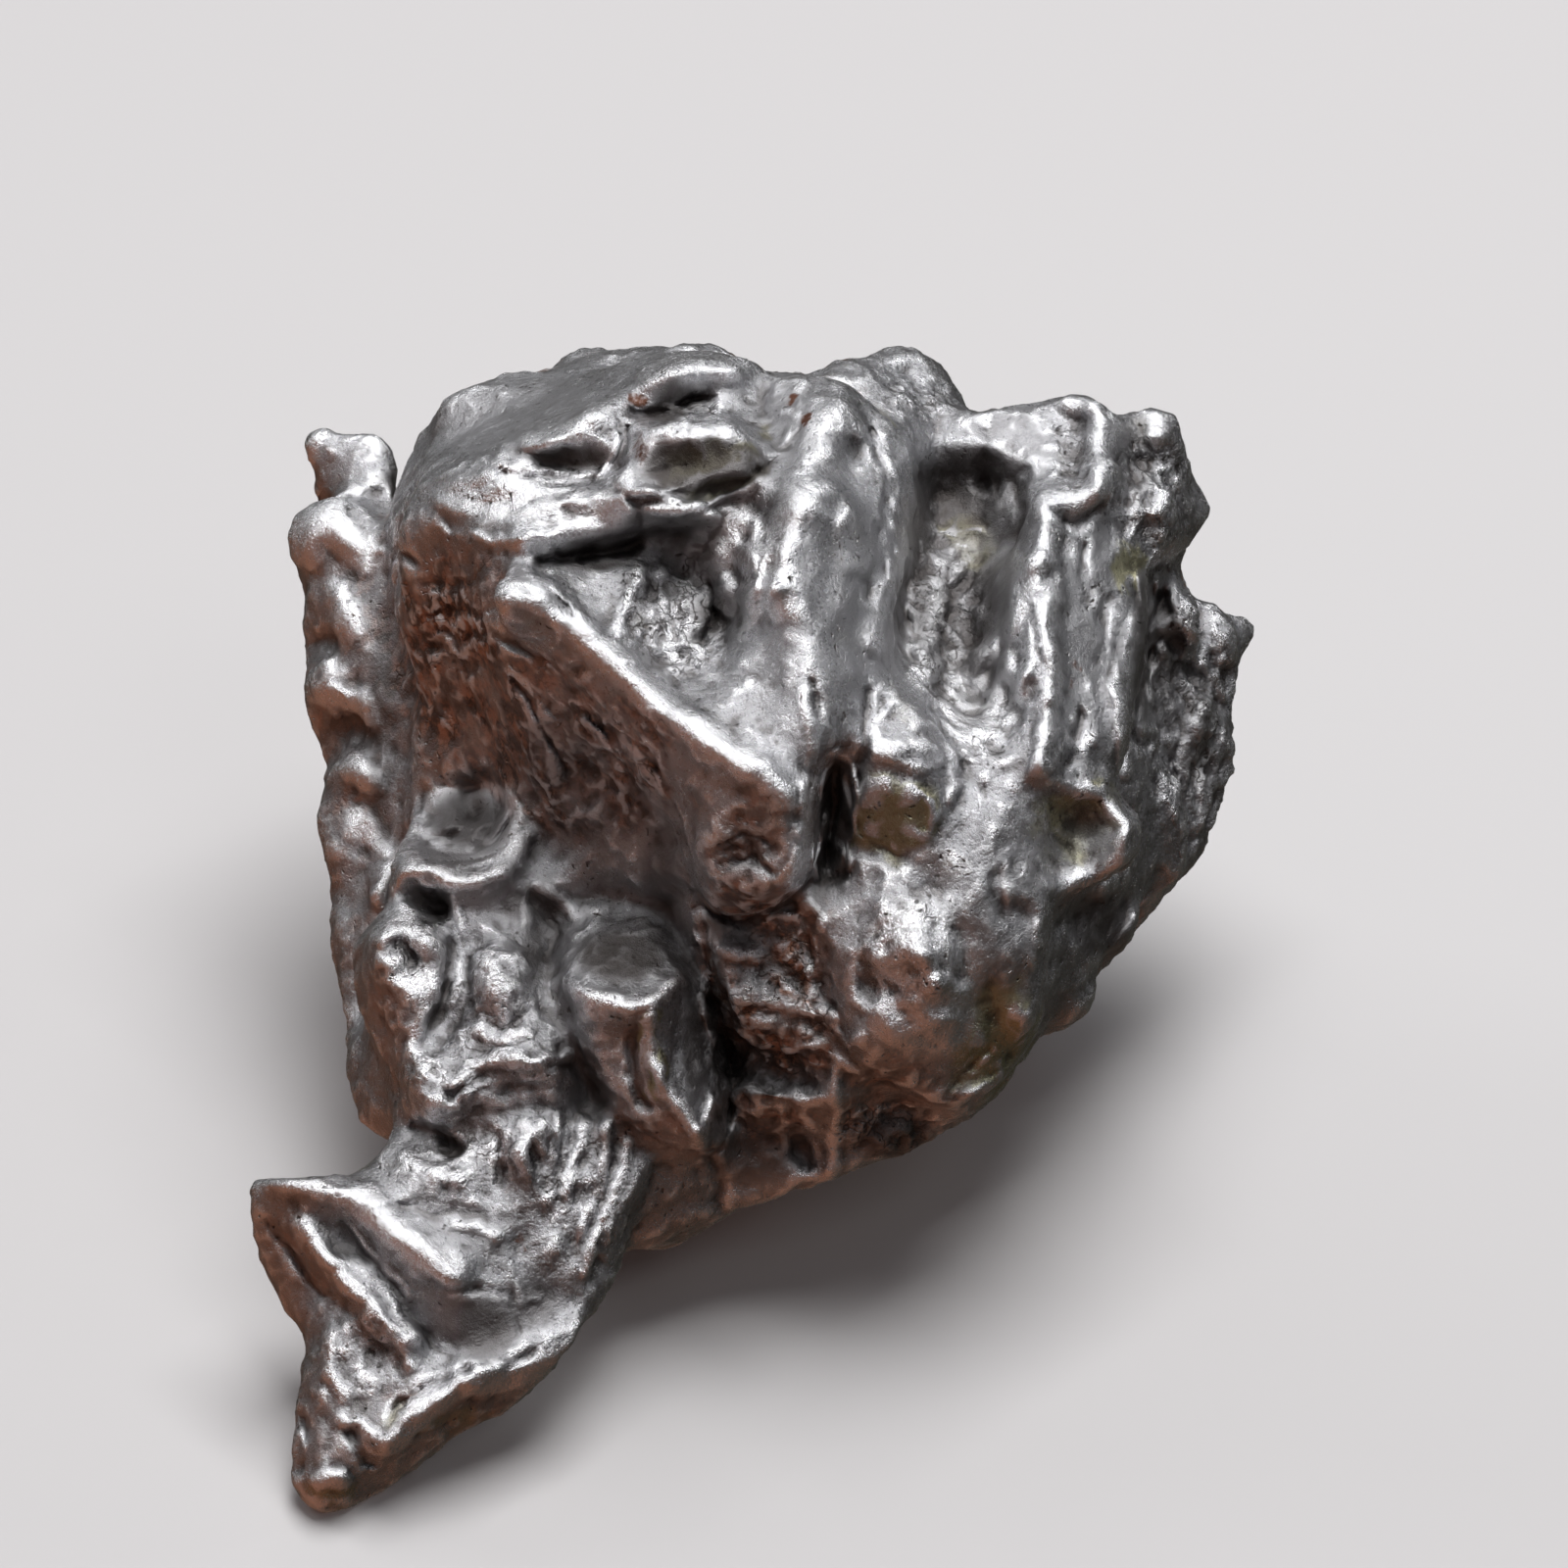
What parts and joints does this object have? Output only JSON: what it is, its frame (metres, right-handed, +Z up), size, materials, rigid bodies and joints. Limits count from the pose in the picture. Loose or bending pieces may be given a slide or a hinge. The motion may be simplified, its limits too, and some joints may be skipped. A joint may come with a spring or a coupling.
{
  "type": "iron meteorite",
  "caption": "Palm-sized nodule of natural iron with folded ridges, pits, a knobbed body and a tapering tongue; a specimen to hold or set down.",
  "frame": {"origin": "middle of the bounding box in plan, at the height of the three contact spots", "axes": "+Z up as it rests, +Y from the tail towards the back of the body and the longest way, +X to the right when the broad face is seen from the front"},
  "size_m": [0.0368, 0.0412, 0.0305],
  "materials": {
    "meteoritic_iron": "handled bare iron, bright on the ridges"
  },
  "bodies": {
    "root": {"meteorite": "meteoritic_iron"}
  },
  "joints": []
}
